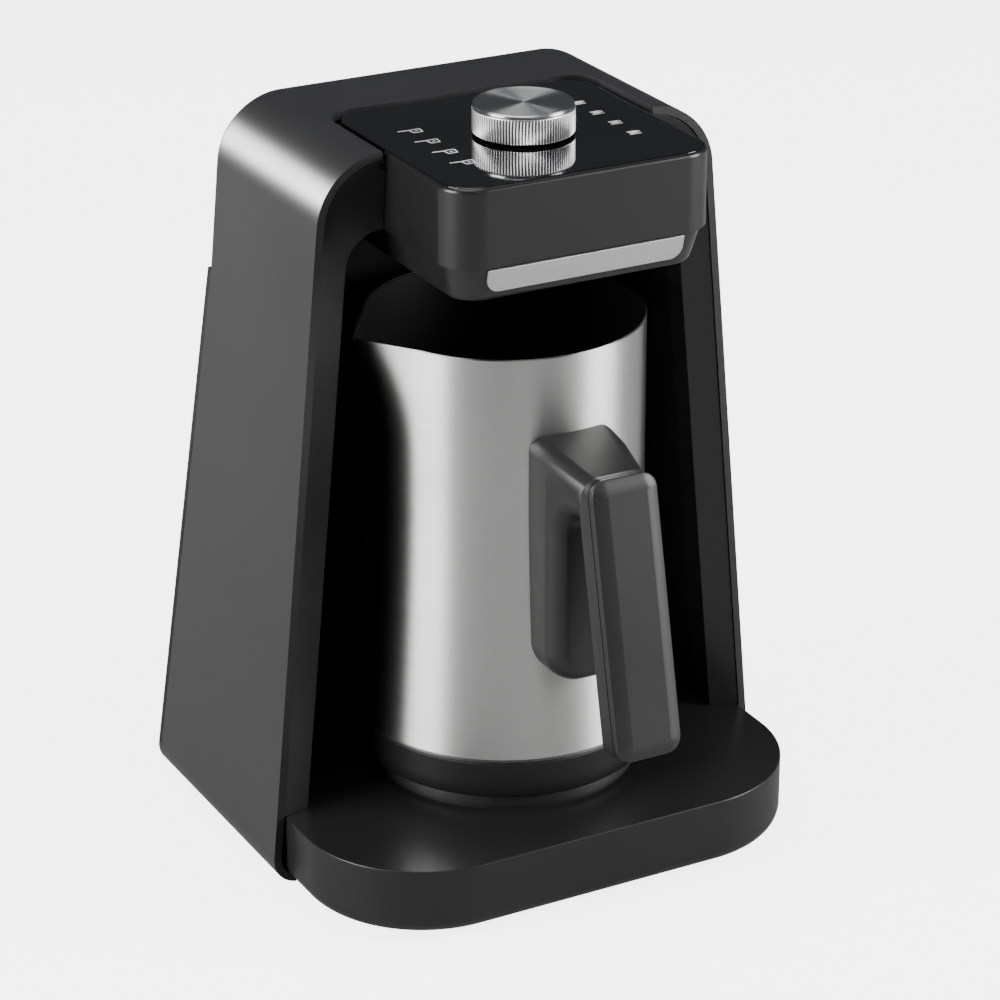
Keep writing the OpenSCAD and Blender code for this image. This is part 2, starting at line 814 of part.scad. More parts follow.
hood_half = head_half_w - hood_inset;
hood_front = head_front + hood_inset;
strip_half = hood_half - strip_inset;
hood_lean = atan(hood_taper / hood_h);

module hood_block(inset, z0) {
    hull() {
        translate([0, 0, bay_top - eps]) linear_extrude(eps)
            round_rect(-hood_half + inset, hood_front + inset, hood_half - inset, hood_back - inset, 9, $fn = 32);
        translate([0, 0, z0]) linear_extrude(eps)
            round_rect(-hood_half + hood_taper + inset, hood_front + hood_taper + inset,
                       hood_half - hood_taper - inset, hood_back - hood_taper - inset, 9, $fn = 32);
    }
}

module hood_lower() {
    color([0.05, 0.05, 0.055])
    difference() {
        hood_block(0, hood_bottom);
        translate([0, 0, eps]) hood_block(2, hood_bottom + 2);
        translate([0, sensor_y, 0]) cylinder(h = far, r = sensor_r + seat_gap);
    }
}

module trim_strip() {
    r = 4;
    color([0.75, 0.76, 0.77])
    translate([0, hood_front, bay_top]) rotate([-hood_lean, 0, 0])
        translate([0, 0, -strip_h - 0.8]) rotate([90, 0, 0]) linear_extrude(strip_t) {
            translate([-strip_half, r]) square([2 * strip_half, strip_h - r]);
            translate([-strip_half + r, 0]) square([2 * (strip_half - r), r]);
            for (s = [-1, 1]) translate([s * (strip_half - r), r]) circle(r);
        }
}

module foam_sensor() {
    color([0.2, 0.2, 0.2])
    translate([0, sensor_y, hood_bottom + 1]) {
        cylinder(h = 8, r = sensor_r);
        translate([0, 0, 1.1]) cylinder(h = 2, r = sensor_r + 2);
    }
}

module sensor_window() {
    color([0.25, 0.05, 0.05])
    translate([0, sensor_y, hood_bottom]) cylinder(h = 1, r = sensor_r);
}

/* Jug */

ring_gap = 0.5;                          // base ring above the plate
jug_floor = plate_z1 + heat_base_t;      // underside of the steel
neck_r = jug_low_r - 4.5;                // steel inside the base ring
flare_steps = 8;

// Outer radius of the jug at a height: straight at the top, widening below
function jug_r(z) = z >= jug_flare ? jug_top_r
    : jug_top_r + (jug_low_r - jug_top_r) * pow((jug_flare - z) / (jug_flare - jug_hem), 1.4);

// Half profile of the jug's outside, drawn in by inset, open at the rim
function jug_profile(inset, z0) = concat(
    [[0, z0], [neck_r - inset - 3, z0], [neck_r - inset - 0.9, z0 + 0.9], [neck_r - inset, z0 + 3],
     [neck_r - inset, jug_hem - 1 + inset], [jug_low_r - 1 - inset, jug_hem + inset]],
    [for (i = [0 : flare_steps])
        let (z = jug_hem + 1.4 + i * (jug_flare - jug_hem - 1.4) / flare_steps) [jug_r(z) - inset, z]],
    [[jug_top_r - inset, jug_rim + (inset > 0 ? 1 : 0)], [0, jug_rim + (inset > 0 ? 1 : 0)]]);

// Wedge of the pouring spout; r is the radius that its creases are rounded to
module spout(r) {
    low = [-jug_top_r + 2.6, 0, jug_rim - spout_h];
    hull() {
        translate([-spout_reach + 2.5, 0, jug_rim + 1]) sphere(r, $fn = 24);
        translate(low) sphere(r, $fn = 24);
        for (s = [-1, 1])
            translate([-(jug_top_r - 2.4) * cos(spout_angle), s * (jug_top_r - 2.4) * sin(spout_angle), jug_rim + 1])
                sphere(r, $fn = 24);
    }
}

module jug_body() {
    color([0.75, 0.75, 0.74])
    translate([0, jug_y, 0])
    difference() {
        union() {
            rotate_extrude($fn = 128) polygon(jug_profile(0, jug_floor));
            spout(2.5);
        }
        rotate_extrude($fn = 128) polygon(jug_profile(jug_t, jug_floor + jug_t));
        spout(2.5 - jug_t);
        translate([-far / 2, -far / 2, jug_rim]) cube([far, far, 20]);
    }
}

module jug_base_ring() {
    z0 = plate_z1 + ring_gap;
    out_r = jug_low_r - 1;
    color([0.02, 0.02, 0.02])
    translate([0, jug_y, 0])
    rotate_extrude($fn = 128) polygon([[neck_r + seat_gap, z0 + 1], [neck_r + 1, z0], [out_r - 2.5, z0],
                            [out_r - 0.8, z0 + 1.7], [out_r, z0 + 5], [out_r, jug_hem - 0.5],
                            [jug_low_r - 1.5, jug_hem - 0.35], [neck_r + seat_gap, jug_hem - 1.2]]);
}

module jug_heat_base() {
    color("silver")
    translate([0, jug_y, plate_z1]) {
        cylinder(h = 0.5, r1 = neck_r - 3.5, r2 = neck_r - 3);
        translate([0, 0, 0.5]) cylinder(h = heat_base_t - 0.5, r = neck_r - 3);
    }
}

/* Handle, towards the front */

bracket_t = 1.2;
bracket_half_w = 8;
bracket_low = stem_low + 10;
bracket_high = arm_top - 14;
handle_bolts = [stem_low + 18, arm_top - 24];
stem_r = 5;
grip_drop = 7;
arm_z = arm_top - arm_h / 2;

// Places children in the leaning frame of the grip: Z down its length, Y towards the jug
module grip_frame() {
    translate([0, jug_y - grip_reach, arm_top - grip_drop]) rotate([-grip_lean, 0, 0]) children();
}

module handle_bracket() {
    color("gray")
    translate([0, jug_y, 0])
    intersection() {
        translate([-bracket_half_w, -far, bracket_low]) cube([2 * bracket_half_w, far, bracket_high - bracket_low]);
        difference() {
            union() {
                rotate_extrude($fn = 128) polygon(jug_profile(-bracket_t - 0.1, jug_floor));
                for (z = handle_bolts) translate([0, -jug_top_r - 8, z]) rotate([-90, 0, 0]) cylinder(h = 9, r = 3.4);
            }
            rotate_extrude($fn = 128) polygon(jug_profile(-0.1, jug_floor - 1));
            for (z = handle_bolts) translate([0, -far, z]) rotate([-90, 0, 0]) cylinder(h = far, r = screw_r + screw_fit);
        }
    }
}

// A block with rounded upright edges; front is its face away from the jug
module stem_slab(front, back, half, z) {
    translate([0, 0, z]) linear_extrude(eps)
        round_rect(-half, front, half, back, stem_r, $fn = 32);
}

module handle_body() {
    front = -stem_reach;
    back = -jug_top_r + 12;
    color([0.08, 0.08, 0.085])
    difference() {
        union() {
            // stem: rounded at its lower end
            translate([0, jug_y, 0]) hull() {
                stem_slab(front, back, stem_half_w, arm_top - 3);
                stem_slab(front + 1.5, back, stem_half_w - 1.5, arm_top - eps);
                stem_slab(front, back, stem_half_w, stem_low + 7);
                stem_slab(front + 2, back, stem_half_w - 2, stem_low + 2);
                stem_slab(front + 5, back, stem_half_w - 5, stem_low);
            }
            // arm over the fingers
            hull() {
                translate([0, jug_y, 0]) {
                    translate([0, front + stem_r + 3, arm_z]) cube([2 * stem_half_w - 3, 2, arm_h], center = true);
                    translate([0, front + stem_r + 3, arm_z]) cube([2 * stem_half_w, 2, arm_h - 5], center = true);
                }
                grip_frame() translate([-grip_half_w, cover_t, -arm_h]) cube([2 * grip_half_w, grip_t - 1, arm_h + 0.5]);
            }
            // inner half of the grip
            grip_frame() hull() {
                translate([0, cover_t, 0]) grip_slab(grip_half_w, 1);
                translate([0, cover_t + grip_t - 2, 0]) grip_slab(grip_half_w, 1);
                translate([0, cover_t + grip_t - 1, 0]) grip_slab(grip_half_w - 2, 1);
            }
        }
        // seat on the jug
        translate([0, jug_y, 0]) rotate_extrude($fn = 128) polygon(jug_profile(-0.2, jug_floor));
        // pocket for the bracket
        translate([-bracket_half_w - seat_gap, jug_y - jug_top_r - 3.2 - jug_low_r + jug_top_r, bracket_low - seat_gap])
            cube([2 * (bracket_half_w + seat_gap), 20, bracket_high - bracket_low + 2 * seat_gap]);
        for (z = handle_bolts) translate([0, jug_y - stem_reach - 1, z]) rotate([-90, 0, 0]) {
            cylinder(h = 20, r = screw_r + screw_fit, $fn = 32);
            cylinder(h = 3.2, r = 3.4, $fn = 32);
            translate([0, 0, stem_reach + 1 - jug_top_r - 8.5]) cylinder(h = 20, r = 3.6, $fn = 32);
        }
    }
}

// Outline of the grip seen from the front, as thin as t
module grip_slab(half, t) {
    translate([0, t, 0]) rotate([90, 0, 0]) linear_extrude(t)
        round_rect(-half, -grip_len + 4, half, 4, min(5, half - 1), $fn = 32);
}

module handle_cover() {
    chamfer_w = 4.5;
    chamfer_t = 2;
    color([0.1, 0.1, 0.105])
    grip_frame() hull() {
        translate([0, cover_t - 0.5, 0]) grip_slab(grip_half_w, 0.4);
        translate([0, chamfer_t, 0]) grip_slab(grip_half_w, 0.4);
        translate([0, 0, 0]) scale_slab(chamfer_w);
    }
}

// Front face of the cover, set in all round
module scale_slab(inset) {
    translate([0, 0.4, 0]) rotate([90, 0, 0]) linear_extrude(0.4)
        round_rect(-grip_half_w + inset, -grip_len + 4 + inset, grip_half_w - inset, 4 - inset, 3, $fn = 32);
}

module handle_screws() {
    color("silver")
    for (z = handle_bolts) translate([0, jug_y - stem_reach + 0.2, z]) rotate([-90, 0, 0]) {
        difference() {
            cylinder(h = 2, r = 3);
            for (a = [0, 90]) rotate(a) translate([-1.9, -0.4, -1]) cube([3.8, 0.8, 2]);
        }
        cylinder(h = stem_reach - jug_top_r - 2.5, r = screw_r);
    }
}

outer_shell();
front_frame();
cavity_liner();
bay_back_panel();
back_cover();
back_cover_screws();
cord_gland();
base_tray();
base_bottom();
base_screws();
foot_front_left();
foot_front_right();
foot_back_left();
foot_back_right();
heater_plate();
plate_seal();
heating_element();
reflector_pan();
temperature_sensor();
power_board();
wiring_harness();
head_housing();
panel_carrier();
control_glass();
control_board();
board_screws();
icon_leds();
buzzer();
encoder_body();
switch_dome();
encoder_plunger();
encoder_shaft();
knob_core();
knob_skirt();
knob_cap();
hood_lower();
trim_strip();
foam_sensor();
sensor_window();
jug_body();
jug_base_ring();
jug_heat_base();
handle_bracket();
handle_body();
handle_cover();
handle_screws();
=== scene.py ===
import math

import bmesh
import bpy
from mathutils import Matrix, Vector


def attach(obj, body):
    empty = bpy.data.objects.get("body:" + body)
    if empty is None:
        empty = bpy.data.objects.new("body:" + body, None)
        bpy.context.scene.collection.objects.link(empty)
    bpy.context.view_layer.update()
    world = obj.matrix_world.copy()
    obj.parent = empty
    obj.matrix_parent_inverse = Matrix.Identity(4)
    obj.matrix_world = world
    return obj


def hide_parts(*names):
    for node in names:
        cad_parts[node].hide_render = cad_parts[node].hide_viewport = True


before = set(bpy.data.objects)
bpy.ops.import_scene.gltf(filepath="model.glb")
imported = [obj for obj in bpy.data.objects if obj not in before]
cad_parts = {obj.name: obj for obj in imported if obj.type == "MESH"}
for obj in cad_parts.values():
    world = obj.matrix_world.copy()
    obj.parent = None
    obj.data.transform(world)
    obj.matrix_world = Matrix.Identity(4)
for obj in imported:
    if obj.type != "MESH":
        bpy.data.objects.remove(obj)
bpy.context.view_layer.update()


# ---- View, floor and studio light ------------------------------------------------
# The photograph's view: a long lens, from the left of the front and a little above.
# The floor is pale. Soft lights stand at both sides, above, faintly in front, and
# behind on the left, where one draws the bright band on the housing's round.

def aim(obj, place, target):
    obj.location = place
    obj.rotation_euler = (Vector(target) - Vector(place)).to_track_quat("-Z", "Y").to_euler()
    bpy.context.scene.collection.objects.link(obj)


azimuth, elevation, camera_distance = math.radians(-28.33), math.radians(23.67), 1.1067
look_at = Vector((0.0002, 0.009, 0.11006))
toward_camera = Vector((math.sin(azimuth) * math.cos(elevation),
                        -math.cos(azimuth) * math.cos(elevation), math.sin(elevation)))
lens = bpy.data.cameras.new("photo_view")
lens.lens, lens.sensor_width, lens.clip_start, lens.clip_end = 127.3, 36, 0.05, 20
camera = bpy.data.objects.new("photo_view", lens)
aim(camera, look_at + camera_distance * toward_camera, look_at)
bpy.context.scene.camera = camera

# Each lamp's name, place, width and height in metres, and power in watts.
lamps = {}
for name, place, width, height, power in [("soft_left", (-1.6, 0.0, 0.6), 0.9, 1.1, 56),
                                          ("soft_right", (1.3, -1.0, 0.6), 0.8, 1.1, 54),
                                          ("soft_top", (-0.1, 0.1, 1.9), 1.6, 1.2, 20),
                                          ("soft_front", (-0.1, -2.1, 1.5), 0.9, 0.6, 3),
                                          ("rim_left", (-1.0, 1.45, 0.6), 0.6, 0.55, 75)]:
    lamp = bpy.data.lights.new(name, "AREA")
    lamp.shape, lamp.size, lamp.size_y, lamp.energy = "RECTANGLE", width, height, power
    lamps[name] = bpy.data.objects.new(name, lamp)
    aim(lamps[name], place, (0, 0, 0.1))

world = bpy.data.worlds.new("studio")
world.use_nodes = True
world.node_tree.nodes["Background"].inputs["Color"].default_value = (0.9, 0.95, 1, 1)
world.node_tree.nodes["Background"].inputs["Strength"].default_value = 0.08
bpy.context.scene.world = world


class Field:
    """A value that changes over a surface: one output socket, with arithmetic."""

    def __init__(self, tree, socket):
        self.tree, self.socket = tree, socket

    def math(self, operation, *others):
        node = self.tree.nodes.new("ShaderNodeMath")
        node.operation = operation
        for socket, value in zip(node.inputs, (self,) + others):
            if isinstance(value, Field):
                self.tree.links.new(value.socket, socket)
            else:
                socket.default_value = value
        return Field(self.tree, node.outputs[0])

    def __add__(self, other):
        return self.math("ADD", other)

    def __mul__(self, other):
        return self.math("MULTIPLY", other)

    def __pow__(self, other):
        return self.math("POWER", other)

    __radd__, __rmul__ = __add__, __mul__


class Finish:
    """A material: a Principled shader, and one way to add any other node."""

    def __init__(self, name, **sockets):
        self.material = bpy.data.materials.new(name)
        self.material.use_nodes = True
        self.tree = self.material.node_tree
        self.shader = self.tree.nodes["Principled BSDF"]
        self.set(**sockets)

    def plug(self, socket, value):
        if isinstance(value, Field):
            self.tree.links.new(value.socket, socket)
        elif isinstance(value, tuple) and len(value) == 3 and socket.type == "RGBA":
            socket.default_value = value + (1,)
        else:
            socket.default_value = value

    def set(self, **sockets):
        for name, value in sockets.items():
            self.plug(self.shader.inputs[name.replace("_", " ")], value)
        return self

    def node(self, kind, settings, output=0, **sockets):
        node = self.tree.nodes.new("ShaderNode" + kind)
        for name, value in settings.items():
            setattr(node, name, value)
        for name, value in sockets.items():
            self.plug(node.inputs[name.replace("_", " ")], value)
        return Field(self.tree, node.outputs[output])

    def noise(self, scale, detail=2.0, stretch=(1, 1, 1), place=(0, 0, 0)):
        where = self.node("TexCoord", {}, 3)
        where = self.node("Mapping", {}, Vector=where, Scale=stretch, Location=place)
        return self.node("TexNoise", {}, Vector=where, Scale=scale, Detail=detail)

    def tint(self, mask, low, high):
        mix = self.tree.nodes.new("ShaderNodeMix")
        mix.data_type = "RGBA"
        self.plug(mix.inputs[0], mask)
        self.plug(mix.inputs[6], low)
        self.plug(mix.inputs[7], high)
        self.set(Base_Color=Field(self.tree, mix.outputs[2]))
        return self

    def bump(self, height, strength, distance):
        self.set(Normal=self.node("Bump", {}, Height=height, Strength=strength,
                                  Distance=distance))
        return self


# The camera sees the floor as near white. In the object's reflections it is a mid grey.
floor_reach = 14
floor_paint = Finish("floor_paint", Roughness=0.85, Specular_IOR_Level=0.1, Emission_Strength=4)
seen = floor_paint.node("LightPath", {}, 0)
floor_paint.tint(seen, (0.4, 0.4, 0.4), (0.9, 0.9, 0.9)).set(Emission_Color=seen)
bm = bmesh.new()
bmesh.ops.create_grid(bm, x_segments=2, y_segments=2, size=floor_reach)
floor_mesh = bpy.data.meshes.new("floor")
bm.to_mesh(floor_mesh)
bm.free()
floor_mesh.materials.append(floor_paint.material)
floor = bpy.data.objects.new("floor", floor_mesh)
bpy.context.scene.collection.objects.link(floor)


# ---- Housing shell ----------------------------------------------------------------
# One black moulding makes both side walls and the top. It leans in towards the top,
# its long corners are round, and it is 2.5 mm thick. The top is cut out for the glass.

body_top, body_front, shell_lift, shell_wall = 235, -4, 1.4, 2.5
reach_at_floor, side_lean, back_lean = 87.5, math.radians(5.4), math.radians(5.9)
top_round, foot_round, rear_edge_round, seam_height = 20, 9.8, 3, 181
head_half, head_front, head_corner, panel_back, panel_corner = 44, -46, 11, 36, 9


def half_width(z):
    return reach_at_floor - math.tan(side_lean) * z


def back_at(z):
    return reach_at_floor - math.tan(back_lean) * min(z, seam_height)


def block(low, high):
    bm = bmesh.new()
    size = [b - a for a, b in zip(low, high)]
    bmesh.ops.create_cube(bm, size=1)
    bmesh.ops.scale(bm, vec=size, verts=bm.verts)
    bmesh.ops.translate(bm, vec=[(a + b) / 2 for a, b in zip(low, high)], verts=bm.verts)
    return bm


def edges_where(bm, test):
    """The edges whose middle (x, y, z) and direction (unit vector) pass the test."""
    chosen = []
    for edge in bm.edges:
        a, b = (v.co for v in edge.verts)
        if test((a + b) / 2, (b - a).normalized()):
            chosen.append(edge)
    return chosen


def round_over(bm, radius, segments, test):
    bmesh.ops.bevel(bm, geom=edges_where(bm, test), offset=radius, offset_type="OFFSET",
                    affect="EDGES", segments=segments, profile=0.5, material=-1,
                    clamp_overlap=True)


def make_piece(name, bm, finish, body, nodes, softened=0.3, wall=0, cuts=(),
               facing=None):
    """Turns a bmesh in millimetres into a piece that stands for the given CAD nodes.

    softened is the width of its edge bevels, wall its thickness where it is drawn as a
    sheet, cuts the bmeshes taken out of it, and facing the way that an open sheet looks.
    """
    for face in bm.faces:
        face.smooth = True
    bmesh.ops.recalc_face_normals(bm, faces=bm.faces)
    if facing and sum(f.normal.dot(Vector(facing)) * f.calc_area() for f in bm.faces) < 0:
        bmesh.ops.reverse_faces(bm, faces=bm.faces)
    bmesh.ops.scale(bm, vec=(0.001, 0.001, 0.001), verts=bm.verts)
    mesh = bpy.data.meshes.new(name)
    bm.to_mesh(mesh)
    bm.free()
    for coat in finish if isinstance(finish, list) else [finish]:
        mesh.materials.append(coat.material)
    piece = bpy.data.objects.new(name, mesh)
    bpy.context.scene.collection.objects.link(piece)
    if wall:
        solid = piece.modifiers.new("wall", "SOLIDIFY")
        solid.thickness, solid.offset, solid.use_even_offset = wall / 1000, -1, True
    cutters = []
    for cut in cuts:
        bmesh.ops.recalc_face_normals(cut, faces=cut.faces)
        bmesh.ops.scale(cut, vec=(0.001, 0.001, 0.001), verts=cut.verts)
        cutter = bpy.data.objects.new("cutter", bpy.data.meshes.new("cutter"))
        cut.to_mesh(cutter.data)
        cut.free()
        bpy.context.scene.collection.objects.link(cutter)
        cutters.append(cutter)
        carve = piece.modifiers.new("carve", "BOOLEAN")
        carve.operation, carve.solver, carve.object = "DIFFERENCE", "EXACT", cutter
    if cutters:
        shown = piece.evaluated_get(bpy.context.evaluated_depsgraph_get())
        piece.data = bpy.data.meshes.new_from_object(shown)
        piece.modifiers.clear()
        for cutter in cutters:
            bpy.data.objects.remove(cutter)
    if softened:
        bevel = piece.modifiers.new("softened", "BEVEL")
        bevel.width, bevel.segments, bevel.limit_method = softened / 1000, 3, "ANGLE"
        bevel.angle_limit = math.radians(32)
    else:
        piece.data.set_sharp_from_angle(angle=math.radians(34))
    even = piece.modifiers.new("even_shading", "WEIGHTED_NORMAL")
    even.keep_sharp = True
    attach(piece, body)
    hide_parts(*nodes)
    return piece


def panel_outline(grow, low, high):
    """The control panel's plan, from the head's front to its round back corners."""
    bm = block((-head_half - grow, head_front - grow, low),
               (head_half + grow, panel_back + grow, high))
    round_over(bm, head_corner + grow, 14, lambda m, d: abs(d.z) > 0.9 and m.y < 0)
    round_over(bm, panel_corner + grow, 14, lambda m, d: abs(d.z) > 0.9 and m.y > 0)
    return bm


satin_black = Finish("satin_black_moulding", Specular_IOR_Level=0.34)
grain = satin_black.noise(1400, 3)
patches = satin_black.noise(18, 2, place=(3, 1, 0))
satin_black.tint(patches, (0.0095, 0.0095, 0.0098), (0.0125, 0.0125, 0.0128))
satin_black.set(Roughness=0.27 + 0.06 * patches + 0.04 * grain)
satin_black.bump(grain, 0.12, 0.0001)

bm = block((-1, body_front, shell_lift), (1, 1, body_top))
bmesh.ops.bisect_plane(bm, geom=bm.verts[:] + bm.edges[:] + bm.faces[:],
                       plane_co=(0, 0, seam_height), plane_no=(0, 0, 1))
for corner in bm.verts:
    corner.co.x *= half_width(corner.co.z)
    if corner.co.y > 0:
        corner.co.y = back_at(corner.co.z)
round_over(bm, top_round, 20, lambda m, d: abs(d.y) > 0.9 and m.z > 200)
round_over(bm, foot_round, 10, lambda m, d: abs(d.y) > 0.9 and m.z < 20)
round_over(bm, rear_edge_round, 5,
           lambda m, d: m.y > back_at(m.z) - 0.6 and m.z > seam_height + 1)
open_faces = [f for f in bm.faces if f.normal.y < -0.95 or f.normal.z < -0.99
              or (f.normal.y > 0.9 and f.calc_center_median().z < seam_height - 5)]
bmesh.ops.delete(bm, geom=open_faces, context="FACES")
shell = make_piece("housing_shell", bm, satin_black, "machine",
                   ["outer_shell"], softened=0.5, wall=shell_wall,
                   cuts=[panel_outline(1.6, 228, 240)])
# The lamp behind on the left draws its bright band on the housing, and leaves the rest.
lit_from_behind = bpy.data.collections.new("lit_from_behind")
lit_from_behind.objects.link(shell)
lamps["rim_left"].light_linking.receiver_collection = lit_from_behind


# ---- Bay frame --------------------------------------------------------------------
# A moulded frame clips into the shell's front edge. Its face slopes inwards to the
# opening, and its inner edge turns back to meet the bay's dark lining.

frame_width, frame_setback, frame_depth, frame_fit = 12, 3, 12, 0.2
outer_corner, inner_corner, bay_ceiling, base_level = 18, 10.5, 210, 24.9


def arch(bm, inset, top, radius, y, segments=16):
    """An open arch: two leaning legs and a bar, joined by round corners."""
    corners = [bm.verts.new((side * (half_width(z) - inset), y, z))
               for side, z in [(-1, base_level), (-1, top), (1, top), (1, base_level)]]
    bm.faces.new(corners)
    bmesh.ops.bevel(bm, geom=corners[1:3], offset=radius, offset_type="OFFSET",
                    affect="VERTICES", segments=segments, profile=0.5, material=-1)
    face = [f for f in bm.faces if all(abs(v.co.y - y) < 1e-4 for v in f.verts)][0]
    edges = [e for e in face.edges
             if abs(e.verts[0].co.z + e.verts[1].co.z - 2 * base_level) > 1e-3]
    bmesh.ops.delete(bm, geom=[face], context="FACES_ONLY")
    return edges


bm = bmesh.new()
outer_edge = arch(bm, shell_wall + frame_fit, body_top - shell_wall - frame_fit, outer_corner,
                  body_front + 0.4)
inner_edge = arch(bm, frame_width, bay_ceiling, inner_corner, body_front + frame_setback)
bmesh.ops.bridge_loops(bm, edges=outer_edge + inner_edge)
turned = bmesh.ops.extrude_edge_only(bm, edges=inner_edge)
bmesh.ops.translate(bm, vec=(0, frame_depth - frame_setback, 0),
                    verts=[v for v in turned["geom"] if isinstance(v, bmesh.types.BMVert)])
loose = [e for e in bm.edges if not e.link_faces]
bmesh.ops.delete(bm, geom=loose, context="EDGES")
# The frame's upper bar is open where the head passes through it.
room_for_head = [block((-head_half - frame_fit, -10, bay_ceiling - 1),
                       (head_half + frame_fit, -0.8, 245)),
                 block((2.2 - head_half, -10, 217), (head_half - 2.2, 40, 245)),
                 panel_outline(2.2, 229, 245)]
make_piece("bay_frame", bm, satin_black, "machine", ["front_frame"],
           softened=0.35, wall=1.8, cuts=room_for_head, facing=(0, -1, 0))


# ---- Bay lining, back cover, cord gland --------------------------------------------
# The lining is a matt black tunnel, closed by a back panel. The back cover is a vented
# plate with four screws, and the cord's empty gland is in its corner.

def dress(finish, *nodes):
    """Gives CAD nodes, whose shape stays, their material."""
    for node in nodes:
        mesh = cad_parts[node].data
        mesh.materials.clear()
        mesh.materials.append(finish.material)


matt_black = Finish("matt_black_lining", Specular_IOR_Level=0.2)
pores = matt_black.noise(900, 3)
matt_black.tint(pores, (0.0035, 0.0035, 0.004), (0.006, 0.006, 0.0065))
matt_black.set(Roughness=0.55 + 0.1 * pores).bump(pores, 0.1, 0.0001)
dress(matt_black, "cavity_liner", "bay_back_panel", "panel_carrier", "base_bottom", "buzzer",
      "encoder_body", "knob_core", "foam_sensor")
dress(satin_black, "back_cover")

screw_steel = Finish("zinc_plated_steel", Metallic=1.0)
streaks = screw_steel.noise(600, 3, (1, 1, 4))
screw_steel.tint(streaks, (0.42, 0.42, 0.41), (0.56, 0.56, 0.55))
screw_steel.set(Roughness=0.3 + 0.15 * streaks)
dress(screw_steel, "back_cover_screws", "base_screws", "board_screws", "handle_screws",
      "handle_bracket", "encoder_shaft")

black_rubber = Finish("black_rubber", Specular_IOR_Level=0.3)
specks = black_rubber.noise(800, 3)
black_rubber.tint(specks, (0.008, 0.008, 0.008), (0.014, 0.014, 0.014))
black_rubber.set(Roughness=0.65 + 0.15 * specks).bump(specks, 0.2, 0.0001)
dress(black_rubber, "cord_gland", "foot_front_left", "foot_front_right", "foot_back_left",
      "foot_back_right")


# ---- Base -------------------------------------------------------------------------
# The base is a D-shaped moulding with a big round at each front corner and a round
# lower edge. It runs back between the housing's walls, and stands on rubber feet.

base_reach, base_front, base_lift, base_corner, base_hem = 82, -59, 2.4, 40, 5.5
bm = block((-base_reach, base_front, base_lift), (base_reach, base_reach, base_level))
round_over(bm, base_corner, 28, lambda m, d: abs(d.z) > 0.9 and m.y < 0)
round_over(bm, base_hem, 8,
           lambda m, d: abs(d.z) < 0.1 and m.z < base_lift + 0.6 and m.y < base_reach - 2)
bmesh.ops.delete(bm, geom=[f for f in bm.faces if f.normal.z < -0.99], context="FACES")
make_piece("base_moulding", bm, satin_black, "machine", ["base_tray"],
           softened=0.7, wall=2.5)


# ---- Heater -----------------------------------------------------------------------
# A coated plate with a rounded edge stands on a silicone ring. Under it are a tube
# element, a bright pan, and a brass sensor that reads the plate's temperature.

jug_axis, plate_radius, plate_low, plate_top = (0, 6), 43, 26.4, 29.9


def turned_ring(profile, steps=128, axis=jug_axis):
    """Spins a closed half section (radius, height) round an upright axis."""
    bm = bmesh.new()
    line = [bm.verts.new((axis[0] + r, axis[1], z)) for r, z in profile]
    edges = [bm.edges.new((a, b)) for a, b in zip(line, line[1:])]
    bmesh.ops.spin(bm, geom=line + edges, cent=(axis[0], axis[1], 0), axis=(0, 0, 1),
                   angle=math.tau, steps=steps, use_merge=True)
    bmesh.ops.remove_doubles(bm, verts=bm.verts, dist=0.001)
    return bm


plate_coat = Finish("plate_coating", Specular_IOR_Level=0.4)
flecks = plate_coat.noise(700, 4)
plate_coat.tint(flecks, (0.006, 0.006, 0.006), (0.012, 0.012, 0.012))
plate_coat.set(Roughness=0.4 + 0.2 * flecks).bump(flecks, 0.15, 0.0001)
profile = [(0, plate_low), (plate_radius, plate_low), (plate_radius, plate_top - 0.8),
           (plate_radius - 0.3, plate_top - 0.3), (plate_radius - 0.8, plate_top), (0, plate_top)]
make_piece("hot_plate", turned_ring(profile), plate_coat, "machine",
           ["heater_plate"], softened=0)

dark_silicone = Finish("dark_silicone", Specular_IOR_Level=0.3)
cloud = dark_silicone.noise(200, 2)
dark_silicone.tint(cloud, (0.007, 0.006, 0.006), (0.011, 0.009, 0.009))
dark_silicone.set(Roughness=0.5 + 0.1 * cloud)
dress(dark_silicone, "plate_seal")

bright_metal = Finish("bright_metal", Metallic=1.0)
scuffs = bright_metal.noise(400, 4)
bright_metal.tint(scuffs, (0.55, 0.55, 0.55), (0.68, 0.68, 0.69))
bright_metal.set(Roughness=0.25 + 0.2 * scuffs)
dress(bright_metal, "reflector_pan", "jug_heat_base")

tube_steel = Finish("element_tube", Metallic=1.0)
heat_marks = tube_steel.noise(60, 3)
tube_steel.tint(heat_marks, (0.3, 0.27, 0.24), (0.46, 0.44, 0.42))
tube_steel.set(Roughness=0.35 + 0.15 * heat_marks)
dress(tube_steel, "heating_element")

brass = Finish("brass", Metallic=1.0)
dull = brass.noise(300, 3)
brass.tint(dull, (0.5, 0.34, 0.12), (0.64, 0.46, 0.18)).set(Roughness=0.25 + 0.2 * dull)
dress(brass, "temperature_sensor", "switch_dome")


# ---- Head over the jug ------------------------------------------------------------
# A black box with round front corners holds the controls. Its rolled top edge frames
# the glass. The hood under it is smaller and narrows downwards, round the foam sensor.

head_top, head_wall, head_floor, glass_seat = 234.1, 2.5, 2.2, 231.3
hood_half, hood_front, hood_back, hood_bottom = 42.5, -44.5, 30, 198.7
hood_taper, hood_wall = 2.5, 5


def hollow(half, front, back, low, high, radius):
    """The inside of a box whose front corners are round."""
    bm = block((-half, front, low), (half, back, high))
    round_over(bm, radius, 12, lambda m, d: abs(d.z) > 0.8 and m.y < front + 2)
    return bm


